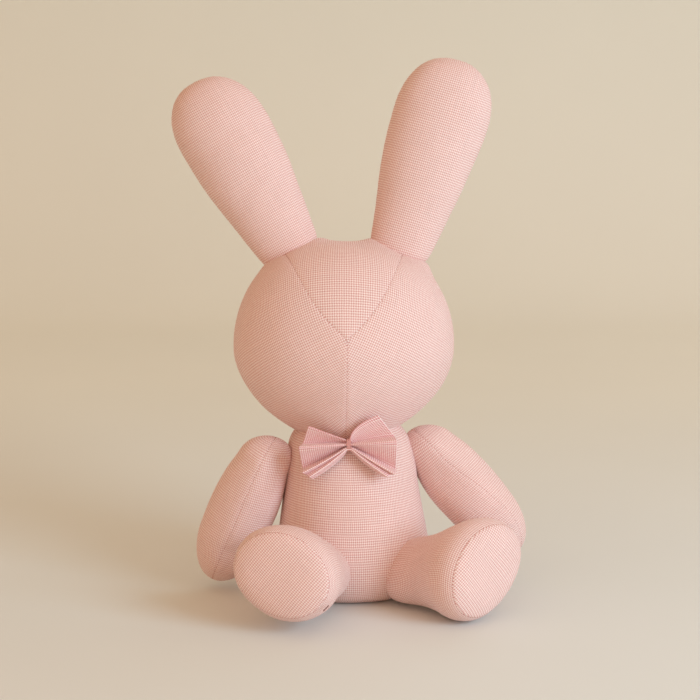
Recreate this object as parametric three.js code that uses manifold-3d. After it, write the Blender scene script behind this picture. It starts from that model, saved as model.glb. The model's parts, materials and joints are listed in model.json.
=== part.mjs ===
// A sitting stuffed rabbit, about 42 cm tall, sewn from woven cloth covers over soft filling.
// Millimetres, +Z up. The rabbit faces -Y, so its own left side is +X.
// The origin is the middle of the flat base that it sits on.
import * as THREE from 'three';
import { mergeVertices } from 'three/addons/utils/BufferGeometryUtils.js';
import Module from 'manifold-3d';

const wasm = await Module();
wasm.setup();

// ---- Driving dimensions ----
const CLOTH = 1.0; // thickness of the woven cover
const GAP = 0.35; // room between neighbouring pieces
const JOINT_GAP = 0.5; // room round a limb's rounded root in its socket
const LEAN_LEFT = -0.035; // how far the trunk leans to -X, for each mm of height
const LEAN_BACK = 0.12; // and how far back, to +Y
const TRUNK_TURN = THREE.MathUtils.degToRad(12); // the trunk is turned towards +X

const NECK_HEIGHT = 119;
const NECK_RADIUS = 37.5;
const TRUNK_DEPTH_RATIO = 0.92; // front to back, against side to side
const HEAD_HALF = { width: 83.5, depth: 66 }; // at its widest
const HEAD_ABOVE = { height: 82, fullness: 2.3 }; // above its widest it is full, like a rounded box
const HEAD_BELOW = { height: 71.5, fullness: 1.7 }; // and below it tapers to the neck
const HEAD_TILT = THREE.MathUtils.degToRad(-7);
const HEAD_TURN = THREE.MathUtils.degToRad(2.3); // the face is turned a little towards +X
const HEAD_LIFT = 62; // from the neck joint to the height where the head is widest
const V_POINT = 10.5; // height of the point of the forehead gusset above there
const V_HALF = 41; // half width of the gusset where the ears are sewn on
const V_RISE = 63; // and its height there above its point

const EAR_HALF_WIDTH = 36;
const EAR_HALF_DEPTH = 21;
const EAR_TIP = 48; // length of its rounded end
const EAR_ROOT = { width: 24, depth: 15.5 };

const ARM_LENGTH = 100; // from the middle of the shoulder to the tip
const ARM_TIP = 40;
const ARM_ROOT = 20;
const LEG_LENGTH = 76; // from the middle of the hip to the middle of the sole
const SOLE_AT = 70; // where the sole is sewn to the leg
const LEG_ROOT = { width: 23, depth: 19 };
const TOE_UP = THREE.MathUtils.degToRad(38); // the long way across the foot, above level

const BOW_CLOTH = 1.6; // two layers of cloth, pressed together

// ---- Colours of the pieces ----
const cloth = new THREE.MeshStandardMaterial({ color: '#eabfb4', roughness: 0.92, metalness: 0 });
const bowCloth = new THREE.MeshStandardMaterial({ color: '#e2a59e', roughness: 0.9, metalness: 0 });
const thread = new THREE.MeshStandardMaterial({ color: '#c98f87', roughness: 0.8, metalness: 0 });
const wadding = new THREE.MeshStandardMaterial({ color: '#f4f1ea', roughness: 0.95, metalness: 0 });
const pellets = new THREE.MeshStandardMaterial({ color: '#d9d4c8', roughness: 0.7, metalness: 0 });

// ---- Solids ----
function solidOf(geometry, matrix = new THREE.Matrix4()) {
  const bare = new THREE.BufferGeometry();
  bare.setAttribute('position', geometry.getAttribute('position').clone());
  bare.setIndex(geometry.index.clone());
  bare.applyMatrix4(matrix);
  const merged = mergeVertices(bare, 1e-4);
  return new wasm.Manifold(new wasm.Mesh({
    numProp: 3,
    vertProperties: merged.getAttribute('position').array,
    triVerts: Uint32Array.from(merged.index.array),
  }));
}

function meshOf(name, solid, material) {
  const found = solid.getMesh();
  const geometry = new THREE.BufferGeometry();
  geometry.setAttribute('position', new THREE.BufferAttribute(found.vertProperties, 3));
  geometry.setIndex(new THREE.BufferAttribute(found.triVerts, 1));
  geometry.computeVertexNormals();
  const mesh = new THREE.Mesh(geometry, material);
  mesh.name = name;
  return mesh;
}

// A closed body through elliptical sections { z, a, b }: a is half its width along X, b along Y.
// The first and last sections are points on the axis, with a and b of 0.
function sectionGeometry(sections, sides) {
  const points = [];
  const faces = [];
  const rings = sections.slice(1, -1);
  points.push(0, 0, sections[0].z);
  for (const { z, a, b } of rings) {
    for (let i = 0; i < sides; i++) {
      const angle = (2 * Math.PI * i) / sides;
      points.push(a * Math.cos(angle), b * Math.sin(angle), z);
    }
  }
  const top = points.length / 3;
  points.push(0, 0, sections.at(-1).z);
  for (let i = 0; i < sides; i++) {
    const next = (i + 1) % sides;
    faces.push(0, 1 + next, 1 + i);
    for (let ring = 0; ring < rings.length - 1; ring++) {
      const low = 1 + ring * sides;
      const high = low + sides;
      faces.push(low + i, low + next, high + next, low + i, high + next, high + i);
    }
    const last = 1 + (rings.length - 1) * sides;
    faces.push(last + i, last + next, top);
  }
  const geometry = new THREE.BufferGeometry();
  geometry.setAttribute('position', new THREE.Float32BufferAttribute(points, 3));
  geometry.setIndex(faces);
  return geometry;
}

// The same sections moved in by a depth, square to the surface.
function inset(sections, depth) {
  return sections.map((section, i) => {
    if (section.a === 0) return { ...section, z: section.z + (i === 0 ? depth : -depth) };
    const before = sections[i - 1];
    const after = sections[i + 1];
    const spread = (after.a + after.b - before.a - before.b) / 2;
    const rise = after.z - before.z;
    const length = Math.hypot(spread, rise);
    const inward = (depth * rise) / length;
    return { z: section.z + (depth * spread) / length, a: section.a - inward, b: section.b - inward };
  });
}

// A box that fills one side of a plane: all that lies beyond the point, along the direction.
function beyond(point, direction) {
  const size = 700;
  const box = new THREE.BoxGeometry(size, size, size).translate(0, 0, size / 2);
  const turn = new THREE.Quaternion().setFromUnitVectors(new THREE.Vector3(0, 0, 1), direction);
  return solidOf(box, new THREE.Matrix4().compose(point, turn, new THREE.Vector3(1, 1, 1)));
}

// A ball or spheroid a little larger than its stated half sizes, so that its flat facets clear them.
function socket(place, halfSizes) {
  const facetRoom = 1.022;
  const ball = new THREE.SphereGeometry(1, 20, 12);
  const size = halfSizes.clone().addScalar(JOINT_GAP).multiplyScalar(facetRoom);
  return solidOf(ball, place.clone().scale(size));
}

// Cover and filling of a stuffed piece, before the cover is cut into its panels.
function stuffed(sections, sides, place) {
  const shape = (depth) => solidOf(sectionGeometry(inset(sections, depth), sides), place);
  return { cover: shape(0).subtract(shape(CLOTH)), filling: shape(CLOTH + GAP) };
}

// Cuts a cover in two along a plane through a point of it.
function halves(cover, point, direction) {
  const step = direction.clone().multiplyScalar(GAP / 2);
  const back = direction.clone().negate();
  return [
    cover.intersect(beyond(point.clone().add(step), direction)),
    cover.intersect(beyond(point.clone().sub(step), back)),
  ];
}

const directionIn = (place, x, y, z) => new THREE.Vector3(x, y, z).transformDirection(place);
const pointIn = (place, x, y, z) => new THREE.Vector3(x, y, z).applyMatrix4(place);

// Sections of a rounded root: the lower half of a ball or spheroid round the joint.
function rootSections(width, depth, count) {
  const sections = [];
  for (let i = 0; i < count; i++) {
    const angle = (Math.PI / 2) * (i / count);
    const scale = i === 0 ? 0 : Math.sin(angle);
    sections.push({ z: -depth * Math.cos(angle), a: width * scale, b: depth * scale });
  }
  return sections;
}

// Sections of a rounded end, from z to its tip. A fullness above 2 is squarer than round.
function tipSections(z, width, depth, height, count, fullness = 2) {
  const sections = [];
  for (let i = 0; i <= count; i++) {
    const angle = (Math.PI / 2) * (i / count);
    const rise = Math.sin(angle) ** (2 / fullness);
    const scale = i === count ? 0 : Math.cos(angle) ** (2 / fullness);
    sections.push({ z: z + height * rise, a: width * scale, b: depth * scale });
  }
  return sections;
}

// ---- Trunk ----
const neck = new THREE.Vector3(LEAN_LEFT, LEAN_BACK, 1).multiplyScalar(NECK_HEIGHT);
const trunkPlace = new THREE.Matrix4()
  .makeShear(0, 0, 0, 0, LEAN_LEFT, LEAN_BACK)
  .multiply(new THREE.Matrix4().makeRotationZ(TRUNK_TURN));
const trunkOutline = new THREE.SplineCurve([
  new THREE.Vector2(41, 0),
  new THREE.Vector2(50.5, 4.5),
  new THREE.Vector2(57.5, 15),
  new THREE.Vector2(59, 30),
  new THREE.Vector2(56, 48),
  new THREE.Vector2(52.5, 66),
  new THREE.Vector2(50, 84),
  new THREE.Vector2(47.5, 98),
  new THREE.Vector2(45, 110),
  new THREE.Vector2(NECK_RADIUS, NECK_HEIGHT),
]);

function trunkSections() {
  const steps = 9;
  const sections = [{ z: 0, a: 0, b: 0 }];
  for (const { x: radius, y: z } of trunkOutline.getPoints(steps)) {
    const roundness = z / NECK_HEIGHT; // the neck is round
    const ratio = THREE.MathUtils.lerp(TRUNK_DEPTH_RATIO, 1, roundness ** 3);
    sections.push({ z, a: radius, b: radius * ratio });
  }
  sections.push({ z: NECK_HEIGHT + 0.5, a: 0, b: 0 });
  return sections;
}

// ---- Where the limbs join ----
const upright = new THREE.Vector3(0, 0, 1);

// A frame at a joint: its Z runs out along the limb, its Y lies as near as it can to the given way.
function limbPlace(position, along, facing) {
  const z = along.clone().normalize();
  const x = new THREE.Vector3().crossVectors(facing, z).normalize();
  const y = new THREE.Vector3().crossVectors(z, x);
  return new THREE.Matrix4().makeBasis(x, y, z).setPosition(position);
}

const backward = new THREE.Vector3(0, 1, 0);
const headPlace = new THREE.Matrix4()
  .makeTranslation(neck)
  .multiply(new THREE.Matrix4().makeRotationX(HEAD_TILT))
  .multiply(new THREE.Matrix4().makeTranslation(-4, 0, HEAD_LIFT));

const ears = [
  { side: 'right', root: new THREE.Vector3(-42, 5, 78.5), lean: -29.5, length: 141 },
  { side: 'left', root: new THREE.Vector3(43.2, 5, 79), lean: 17, length: 146 },
].map(({ side, root, lean, length }) => {
  const angle = THREE.MathUtils.degToRad(lean);
  const along = new THREE.Vector3(Math.sin(angle), 0, Math.cos(angle));
  return { side, length, place: headPlace.clone().multiply(limbPlace(root, along, backward)) };
});

const arms = [
  {
    side: 'right',
    root: new THREE.Vector3(-69.2, -3, 99),
    along: new THREE.Vector3(-0.39, 0.06, -0.92),
    facing: new THREE.Vector3(0.1, 1, 0),
  },
  {
    side: 'left',
    root: new THREE.Vector3(59.8, 22.5, 102),
    along: new THREE.Vector3(0.66, -0.14, -0.74),
    facing: new THREE.Vector3(-0.7, 0.9, -0.5),
  },
].map(({ side, root, along, facing }) => ({ side, place: limbPlace(root, along, facing) }));

const HIP_HEIGHT = 31;
const HIP_REACH = 59; // from the trunk's middle line
const legs = [
  { side: 'right', sign: -1, hip: -42, spread: -28, rise: 0.167 },
  { side: 'left', sign: 1, hip: 42, spread: 30, rise: 0.103 },
].map(({ side, sign, hip, spread, rise }) => {
  const hipAngle = TRUNK_TURN + THREE.MathUtils.degToRad(hip);
  const legAngle = TRUNK_TURN + THREE.MathUtils.degToRad(spread);
  const root = new THREE.Vector3(LEAN_LEFT, LEAN_BACK, 1).multiplyScalar(HIP_HEIGHT);
  root.x += HIP_REACH * Math.sin(hipAngle);
  root.y -= HIP_REACH * Math.cos(hipAngle);
  const along = new THREE.Vector3(Math.sin(legAngle), -Math.cos(legAngle), rise);
  // The long way across the foot turns up and outward, and the leg's Y lies square to it
  const inward = new THREE.Vector3(Math.cos(legAngle), Math.sin(legAngle), 0).multiplyScalar(-sign);
  const facing = upright.clone().multiplyScalar(Math.cos(TOE_UP)).addScaledVector(inward, Math.sin(TOE_UP));
  return { side, place: limbPlace(root, along, facing) };
});

// ---- The rabbit ----
const rabbit = new THREE.Group();
const add = (name, solid, material) => rabbit.add(meshOf(name, solid, material));

function addTrunk() {
  const sockets = [
    ...arms.map(({ place }) => socket(place, new THREE.Vector3(ARM_ROOT, ARM_ROOT, ARM_ROOT))),
    ...legs.map(({ place }) => (
      socket(place, new THREE.Vector3(LEG_ROOT.width, LEG_ROOT.depth, LEG_ROOT.depth))
    )),
  ];
  const { cover, filling } = stuffed(trunkSections(), 24, trunkPlace);
  const seam = 2.5; // the round base panel is sewn on at this height
  const neckEdge = NECK_HEIGHT - 1.5;
  const carved = sockets.reduce((solid, hollow) => solid.subtract(hollow), cover);
  const down = upright.clone().negate();
  const [walls, base] = halves(carved, new THREE.Vector3(0, 0, seam), upright);
  const sides = walls.intersect(beyond(new THREE.Vector3(0, 0, neckEdge), down));
  const toFront = directionIn(trunkPlace, 0, -1, 0).setZ(0).normalize();
  const seamNormal = toFront.clone().addScaledVector(upright, -toFront.dot(neck) / NECK_HEIGHT).normalize();
  const [front, back] = halves(sides, new THREE.Vector3(), seamNormal);
  const across = new THREE.Vector3().crossVectors(neck, seamNormal).normalize();
  const [backLeft, backRight] = halves(back, new THREE.Vector3(), across.x > 0 ? across : across.negate());

  const domeRadius = NECK_RADIUS - CLOTH - GAP;
  const dome = solidOf(
    new THREE.SphereGeometry(domeRadius, 20, 12),
    new THREE.Matrix4().makeTranslation(neck).multiply(new THREE.Matrix4().makeRotationX(Math.PI / 2)),
  );
  const bagPlace = new THREE.Matrix4().makeTranslation(-2, 14, 0);
  const bagOutline = [
    { z: CLOTH + GAP, a: 0, b: 0 },
    { z: CLOTH + GAP, a: 17, b: 15 },
    { z: 6, a: 23, b: 20 },
    { z: 15, a: 25, b: 22 },
    { z: 24, a: 20, b: 18 },
    { z: 28, a: 11, b: 10 },
    { z: 29, a: 0, b: 0 },
  ];
  const bag = solidOf(sectionGeometry(bagOutline, 14), bagPlace);
  const bagRoom = solidOf(sectionGeometry(inset(bagOutline, -GAP), 14), bagPlace);
  const body = sockets.reduce((solid, hollow) => solid.subtract(hollow), filling.add(dome));

  add('torso_front', front, cloth);
  add('torso_back_left', backLeft, cloth);
  add('torso_back_right', backRight, cloth);
  add('torso_base', base, cloth);
  add('torso_stuffing', body.subtract(bagRoom), wadding);
  add('pellet_bag', bag, pellets);
}

// A ball drawn out to the head's half sizes, fuller above its widest height than below.
function headGeometry(depth) {
  const geometry = new THREE.SphereGeometry(1, 28, 18).rotateX(Math.PI / 2);
  const points = geometry.getAttribute('position');
  for (let i = 0; i < points.count; i++) {
    const way = new THREE.Vector3().fromBufferAttribute(points, i);
    const { height, fullness } = way.z > 0 ? HEAD_ABOVE : HEAD_BELOW;
    const size = (Math.hypot(way.x, way.y) ** fullness + Math.abs(way.z) ** fullness) ** (-1 / fullness);
    const half = new THREE.Vector3(HEAD_HALF.width, HEAD_HALF.depth, height).subScalar(depth);
    points.setXYZ(i, ...way.multiplyScalar(size).multiply(half).toArray());
  }
  return geometry;
}

function addHead() {
  const hollows = [
    socket(
      new THREE.Matrix4().makeTranslation(neck),
      new THREE.Vector3(NECK_RADIUS, NECK_RADIUS, NECK_RADIUS),
    ),
    ...ears.map(({ place }) => (
      socket(place, new THREE.Vector3(EAR_ROOT.width, EAR_ROOT.depth, EAR_ROOT.depth))
    )),
  ];
  const facePlace = headPlace.clone().multiply(new THREE.Matrix4().makeRotationZ(HEAD_TURN));
  const ball = (depth) => solidOf(headGeometry(depth), facePlace);
  const carve = (solid) => hollows.reduce((rest, hollow) => rest.subtract(hollow), solid);
  const cover = carve(ball(0).subtract(ball(CLOTH)));
  const middle = pointIn(facePlace, 0, 0, V_POINT);
  const earSeam = pointIn(facePlace, 0, 6, 0);
  const leftward = directionIn(facePlace, 1, 0, 0);
  const [front, back] = halves(cover, earSeam, directionIn(facePlace, 0, -1, 0));
  const [backLeft, backRight] = halves(back, middle, leftward);

  // The forehead gusset is a V between the ears that ends at the middle of the face
  const edges = [directionIn(facePlace, V_RISE, 0, V_HALF), directionIn(facePlace, -V_RISE, 0, V_HALF)];
  const wedge = (move) => {
    const [one, other] = edges.map((edge) => beyond(middle.clone().addScaledVector(edge, move), edge));
    return one.intersect(other);
  };
  const forehead = front.intersect(wedge(GAP / 2));
  const [cheekLeft, cheekRight] = halves(front.subtract(wedge(-GAP / 2)), middle, leftward);

  add('head_forehead', forehead, cloth);
  add('head_cheek_left', cheekLeft, cloth);
  add('head_cheek_right', cheekRight, cloth);
  add('head_back_left', backLeft, cloth);
  add('head_back_right', backRight, cloth);
  add('head_stuffing', carve(ball(CLOTH + GAP)), wadding);
}

function addEar({ side, place, length }) {
  const sections = [
    ...rootSections(EAR_ROOT.width, EAR_ROOT.depth, 3),
    { z: 0, a: EAR_ROOT.width, b: EAR_ROOT.depth },
    { z: 28, a: 28.7, b: 18 },
    { z: 56, a: 33, b: 20 },
    { z: 80, a: 35.4, b: 21 },
    ...tipSections(length - EAR_TIP, EAR_HALF_WIDTH, EAR_HALF_DEPTH, EAR_TIP, 5, 2.3),
  ];
  const { cover, filling } = stuffed(sections, 16, place);
  const [front, back] = halves(cover, pointIn(place, 0, 0, 0), directionIn(place, 0, -1, 0));
  add(`ear_${side}_front`, front, cloth);
  add(`ear_${side}_back`, back, cloth);
  add(`ear_${side}_stuffing`, filling, wadding);
}

function addArm({ side, place }) {
  const sections = [
    ...rootSections(ARM_ROOT, ARM_ROOT, 3),
    { z: 0, a: ARM_ROOT, b: ARM_ROOT },
    { z: 14, a: 23.5, b: 21.3 },
    { z: 30, a: 25.3, b: 22 },
    { z: 46, a: 25.5, b: 22 },
    ...tipSections(ARM_LENGTH - ARM_TIP, 25, 21.6, ARM_TIP, 4),
  ];
  const { cover, filling } = stuffed(sections, 14, place);
  const outward = side === 'left' ? -1 : 1;
  const [outer, inner] = halves(cover, pointIn(place, 0, 0, 0), directionIn(place, outward, 0, 0));
  add(`arm_${side}_outer`, outer, cloth);
  add(`arm_${side}_inner`, inner, cloth);
  add(`arm_${side}_stuffing`, filling, wadding);
}

function addLeg({ side, place }) {
  const sections = [
    ...rootSections(LEG_ROOT.width, LEG_ROOT.depth, 3),
    { z: 0, a: LEG_ROOT.width, b: LEG_ROOT.depth },
    { z: 20, a: 27.5, b: 23.5 },
    { z: 40, a: 35.5, b: 30.5 },
    { z: 54, a: 39.5, b: 33 },
    { z: 64, a: 39.5, b: 32 },
    { z: SOLE_AT, a: 38, b: 30 },
    { z: 73.5, a: 29, b: 23 },
    { z: 75.5, a: 16, b: 12 },
    { z: LEG_LENGTH, a: 0, b: 0 },
  ];
  const { cover, filling } = stuffed(sections, 16, place);
  const [sole, tube] = halves(cover, pointIn(place, 0, 0, SOLE_AT), directionIn(place, 0, 0, 1));
  const slit = solidOf(new THREE.BoxGeometry(GAP, 80, 200).translate(0, -40, 0), place);
  add(`leg_${side}_tube`, tube.subtract(slit), cloth);
  add(`leg_${side}_sole`, sole, cloth);
  add(`leg_${side}_stuffing`, filling, wadding);
}

// One strip of cloth folded into pleats, pinched and stitched in the middle: each row is one fold
// line of one side, from the pinch to the free end.
function addBow() {
  const place = new THREE.Matrix4()
    .makeTranslation(-4.2, -33, 119.5)
    .multiply(new THREE.Matrix4().makeRotationX(THREE.MathUtils.degToRad(-8)))
    .multiply(new THREE.Matrix4().makeRotationY(THREE.MathUtils.degToRad(-4)));
  const pinchX = 3;
  const folds = [
    { pinch: [0.5, 8.5], end: [26, 1.5, 17] },
    { pinch: [-3, 4], end: [35, -6, 3] },
    { pinch: [1.5, 0], end: [36.5, 1, -6] },
    { pinch: [-3, -4], end: [34, -6, -19] },
    { pinch: [0.5, -8.5], end: [28.5, 2, -24] },
  ];
  const columns = [
    (fold) => [-fold.end[0], fold.end[1], fold.end[2]],
    (fold) => [-pinchX, ...fold.pinch],
    (fold) => [pinchX, ...fold.pinch],
    (fold) => fold.end,
  ];
  const rows = folds.length;
  const count = rows * columns.length;
  const points = [];
  for (const layer of [-BOW_CLOTH / 2, BOW_CLOTH / 2]) {
    for (const column of columns) {
      for (const fold of folds) {
        const [x, y, z] = column(fold);
        points.push(x, y + layer, z);
      }
    }
  }
  const faces = [];
  for (let column = 0; column < columns.length - 1; column++) {
    for (let row = 0; row < rows - 1; row++) {
      const [a, b] = [column * rows + row, column * rows + row + 1];
      const [c, d] = [b + rows, a + rows];
      faces.push(a, b, c, a, c, d);
      faces.push(count + a, count + c, count + b, count + a, count + d, count + c);
    }
  }
  const border = [];
  for (let column = 0; column < columns.length - 1; column++) border.push(column * rows);
  for (let row = 0; row < rows - 1; row++) border.push((columns.length - 1) * rows + row);
  for (let column = columns.length - 1; column > 0; column--) border.push(column * rows + rows - 1);
  for (let row = rows - 1; row > 0; row--) border.push(row);
  border.forEach((here, i) => {
    const next = border[(i + 1) % border.length];
    faces.push(here, next, count + next, here, count + next, count + here);
  });
  const strip = new THREE.BufferGeometry();
  strip.setAttribute('position', new THREE.Float32BufferAttribute(points, 3));
  strip.setIndex(faces);
  const wrap = new THREE.TorusGeometry(5.6, 0.8, 6, 18).rotateY(Math.PI / 2);
  wrap.scale(1, 0.9, 2.1).translate(0, -0.75, 0);
  add('bow_cloth', solidOf(strip, place), bowCloth);
  add('bow_stitching', solidOf(wrap, place), thread);
}

addTrunk();
addHead();
addBow();
ears.forEach(addEar);
arms.forEach(addArm);
legs.forEach(addLeg);

export default rabbit;
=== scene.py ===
# A sitting stuffed rabbit: sewn cloth covers over soft filling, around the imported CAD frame.
# Sizes are in millimetres until a mesh is made, and metres from then on.
import json
import math

import bmesh
import bpy
import numpy as np
from mathutils import Matrix, Vector, noise


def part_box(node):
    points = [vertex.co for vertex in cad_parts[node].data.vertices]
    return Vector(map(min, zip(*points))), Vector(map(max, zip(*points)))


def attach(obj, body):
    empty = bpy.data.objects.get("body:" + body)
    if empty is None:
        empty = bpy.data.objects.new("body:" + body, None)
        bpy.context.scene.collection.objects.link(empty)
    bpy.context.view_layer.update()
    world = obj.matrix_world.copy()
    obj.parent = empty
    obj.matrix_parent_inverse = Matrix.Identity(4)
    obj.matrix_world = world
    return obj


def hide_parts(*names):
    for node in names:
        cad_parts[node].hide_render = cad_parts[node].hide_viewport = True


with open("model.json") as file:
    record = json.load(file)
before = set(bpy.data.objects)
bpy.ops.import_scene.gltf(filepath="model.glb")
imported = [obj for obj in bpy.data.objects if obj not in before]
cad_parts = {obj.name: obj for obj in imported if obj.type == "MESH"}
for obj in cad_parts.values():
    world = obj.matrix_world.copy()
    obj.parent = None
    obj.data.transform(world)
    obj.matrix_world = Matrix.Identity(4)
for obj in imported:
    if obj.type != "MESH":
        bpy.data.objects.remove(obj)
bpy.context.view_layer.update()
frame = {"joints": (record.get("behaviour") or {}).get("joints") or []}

MM = 0.001
joints = {joint["name"]: joint for joint in frame["joints"]}


def joint_point(name):
    """Where a joint turns, in millimetres."""
    return np.array(joints[name]["pos_m"]) / MM


# ---- Driving dimensions, as in the CAD model ----
LEAN = np.array([-0.035, 0.12])  # trunk lean to -X and +Y for each mm of height
TRUNK_TURN = math.radians(12)
TRUNK_DEPTH = 0.92  # front to back, against side to side
NECK_HEIGHT = 119
NECK_RADIUS = 37.5
HEAD_WIDTH, HEAD_DEPTH = 83.5, 66  # half sizes
HEAD_ABOVE, HEAD_BELOW = (82, 2.3), (71.5, 1.7)  # height and fullness, above and below its widest
HEAD_TILT = math.radians(-7)
HEAD_TURN = math.radians(2.3)
HEAD_OFFSET = np.array([-4, 0, 62])  # from the neck joint to where the head is widest
V_POINT = 10.5  # height of the point of the forehead gusset above there
EAR_SEAM_Y = 6  # the seam over the head, behind its middle
EAR_LENGTH = {"right": 141, "left": 146}
EAR_TIP = 48
EAR_ROOT = np.array([24, 15.5, 15.5])
ARM_LENGTH, ARM_TIP, ARM_ROOT = 100, 40, 20
LEG_LENGTH, SOLE_AT = 76, 70
LEG_ROOT = np.array([23, 19, 19])
TOE_UP = math.radians(38)
BASE_SEAM = 2.5

GRAIN = 3.2  # size of a mesh face before it is smoothed
CLOTH = 0.7  # thickness of the woven cloth
CHECK_ACROSS, CHECK_ALONG = 1.48, 1.78  # the check repeats every four yarns each way


# ---- Frames of the limbs ----
def turned(axis_x, axis_y, axis_z, origin):
    """A matrix from a limb's own frame to the row frame."""
    rows = np.column_stack([axis_x, axis_y, axis_z, origin])
    return np.vstack([rows, [0, 0, 0, 1]])


def limb_frame(joint, along, facing):
    """Z runs out along the limb, and Y lies as near as it can to the given way."""
    axis_z = np.array(along, float) / np.linalg.norm(along)
    axis_x = np.cross(facing, axis_z)
    axis_x /= np.linalg.norm(axis_x)
    return turned(axis_x, np.cross(axis_z, axis_x), axis_z, joint_point(joint))


def tilted(angle):
    """A turn about X."""
    return np.array([
        [1, 0, 0],
        [0, math.cos(angle), -math.sin(angle)],
        [0, math.sin(angle), math.cos(angle)],
    ])


def spun(angle):
    """A turn about Z, for rows of X and Y."""
    return np.array([[math.cos(angle), math.sin(angle)], [-math.sin(angle), math.cos(angle)]])


neck = joint_point("head_nod")
head_tilt = tilted(HEAD_TILT)
head_frame = turned(*head_tilt.T, neck + head_tilt @ HEAD_OFFSET)


def ear_frame(side, lean):
    angle = math.radians(lean)
    along = head_tilt @ np.array([math.sin(angle), 0, math.cos(angle)])
    return limb_frame(f"ear_{side}_bend", along, head_tilt @ np.array([0, 1, 0]))


def leg_frame(side, spread, rise):
    """The long way across the foot is turned up and outward."""
    angle = TRUNK_TURN + math.radians(spread)
    along = (math.sin(angle), -math.cos(angle), rise)
    inward = np.array([math.cos(angle), math.sin(angle), 0]) * (1 if side == "right" else -1)
    facing = np.array([0, 0, math.cos(TOE_UP)]) + inward * math.sin(TOE_UP)
    return limb_frame(f"leg_{side}_lift", along, facing)


EARS = {"right": ear_frame("right", -29.5), "left": ear_frame("left", 17)}
ARMS = {
    "right": limb_frame("arm_right_lift", (-0.39, 0.06, -0.92), (0.1, 1, 0)),
    "left": limb_frame("arm_left_lift", (0.66, -0.14, -0.74), (-0.7, 0.9, -0.5)),
}
LEGS = {"right": leg_frame("right", -28, 0.167), "left": leg_frame("left", 30, 0.103)}


# ---- Outlines: lists of (height, half width, half depth) ----
def through(points, count):
    """Evenly spaced points on a smooth curve through a few given ones."""
    points = np.array(points, float)
    knots = np.r_[0, np.cumsum(np.linalg.norm(np.diff(points[:, :2], axis=0), axis=1))]
    slopes = np.gradient(points, knots, axis=0)
    place = np.linspace(0, knots[-1], count)
    i = np.clip(np.searchsorted(knots, place, side="right") - 1, 0, len(knots) - 2)
    width = (knots[i + 1] - knots[i])[:, None]
    t = (place[:, None] - knots[i][:, None]) / width
    return (
        points[i] * (2 * t**3 - 3 * t**2 + 1)
        + slopes[i] * width * (t**3 - 2 * t**2 + t)
        + points[i + 1] * (3 * t**2 - 2 * t**3)
        + slopes[i + 1] * width * (t**3 - t**2)
    )


def round_root(half_sizes, count):
    width, depth, length = half_sizes
    angles = np.linspace(0, math.pi / 2, count)
    return np.column_stack([-length * np.cos(angles), width * np.sin(angles), depth * np.sin(angles)])


def round_tip(start, width, depth, height, count, fullness=2):
    """A fullness above 2 is squarer than round."""
    angles = np.linspace(0, math.pi / 2, count)
    rise, scale = np.sin(angles) ** (2 / fullness), np.cos(angles) ** (2 / fullness)
    scale[-1] = 0
    return np.column_stack([start + height * rise, width * scale, depth * scale])


def evenly(spans):
    """Joins spans of an outline, each resampled to steps of about GRAIN, and says where each ends."""
    rows, ends = [spans[0][:1]], []
    for span in spans:
        length = np.r_[0, np.cumsum(np.linalg.norm(np.diff(span, axis=0), axis=1) / math.sqrt(1.5))]
        count = max(2, round(length[-1] / GRAIN))
        at = np.linspace(0, length[-1], count + 1)[1:]
        rows.append(np.column_stack([np.interp(at, length, span[:, k]) for k in range(3)]))
        ends.append(sum(len(row) for row in rows) - 1)
    return np.vstack(rows), ends


# ---- Meshes ----
def grid_points(outline, sides):
    """Points[ring][side] of a body with elliptical sections."""
    angles = np.arange(sides) * 2 * math.pi / sides
    height, width, depth = (outline[:, k][:, None] for k in range(3))
    return np.stack([width * np.cos(angles), depth * np.sin(angles), height + 0 * angles], axis=2)


def in_scene(name, data):
    """Makes an object and links it to the scene."""
    made = bpy.data.objects.new(name, data)
    bpy.context.scene.collection.objects.link(made)
    return made


def closed_grid(name, points, panel_of, place_on_cloth):
    """One closed mesh from rings of points; the first and last rings are single points. Each face's
    material index is its panel, and its UV map is its place on the flat cloth, in metres."""
    rings, sides = points.shape[:2]
    inner = points[1:-1].reshape(-1, 3)
    coords = np.vstack([points[0, 0], inner, points[-1, 0]])
    last = len(coords) - 1

    def index(ring, side):
        if ring == 0:
            return 0
        return last if ring == rings - 1 else 1 + (ring - 1) * sides + side % sides

    faces, corners = [], []
    for ring in range(rings - 1):
        for side in range(sides):
            quad = [(ring, side), (ring, side + 1), (ring + 1, side + 1), (ring + 1, side)]
            if ring == 0:
                quad = [quad[0], quad[2], quad[3]]
            elif ring == rings - 2:
                quad = quad[:3]
            faces.append([index(*corner) for corner in quad])
            corners.append((ring, side, quad))
    mesh = bpy.data.meshes.new(name)
    mesh.from_pydata([tuple(point * MM) for point in coords], [], faces)
    layer = mesh.uv_layers.new(name="cloth")
    for face, (ring, side, quad) in zip(mesh.polygons, corners):
        face.material_index = panel_of(ring, side)
        for loop, corner in zip(face.loop_indices, quad):
            u, v = place_on_cloth(face.material_index, *corner)
            layer.data[loop].uv = (u * MM, v * MM)
    return in_scene(name, mesh)


def cloth_lengths(points):
    """Distance round each ring from its first point, and along the body, measured on the surface."""
    closed = np.concatenate([points, points[:, :1]], axis=1)
    around = np.linalg.norm(np.diff(closed, axis=1), axis=2)
    around = np.concatenate([np.zeros((len(points), 1)), np.cumsum(around, axis=1)], axis=1)
    steps = np.linalg.norm(np.diff(points, axis=0), axis=2).mean(axis=1)
    return around, np.r_[0, np.cumsum(steps)]


def run_modifiers(piece):
    """Bakes a piece's modifiers into its mesh."""
    bpy.context.view_layer.update()
    graph = bpy.context.evaluated_depsgraph_get()
    baked = bpy.data.meshes.new_from_object(piece.evaluated_get(graph))
    piece.modifiers.clear()
    piece.data = baked
    return piece


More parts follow.
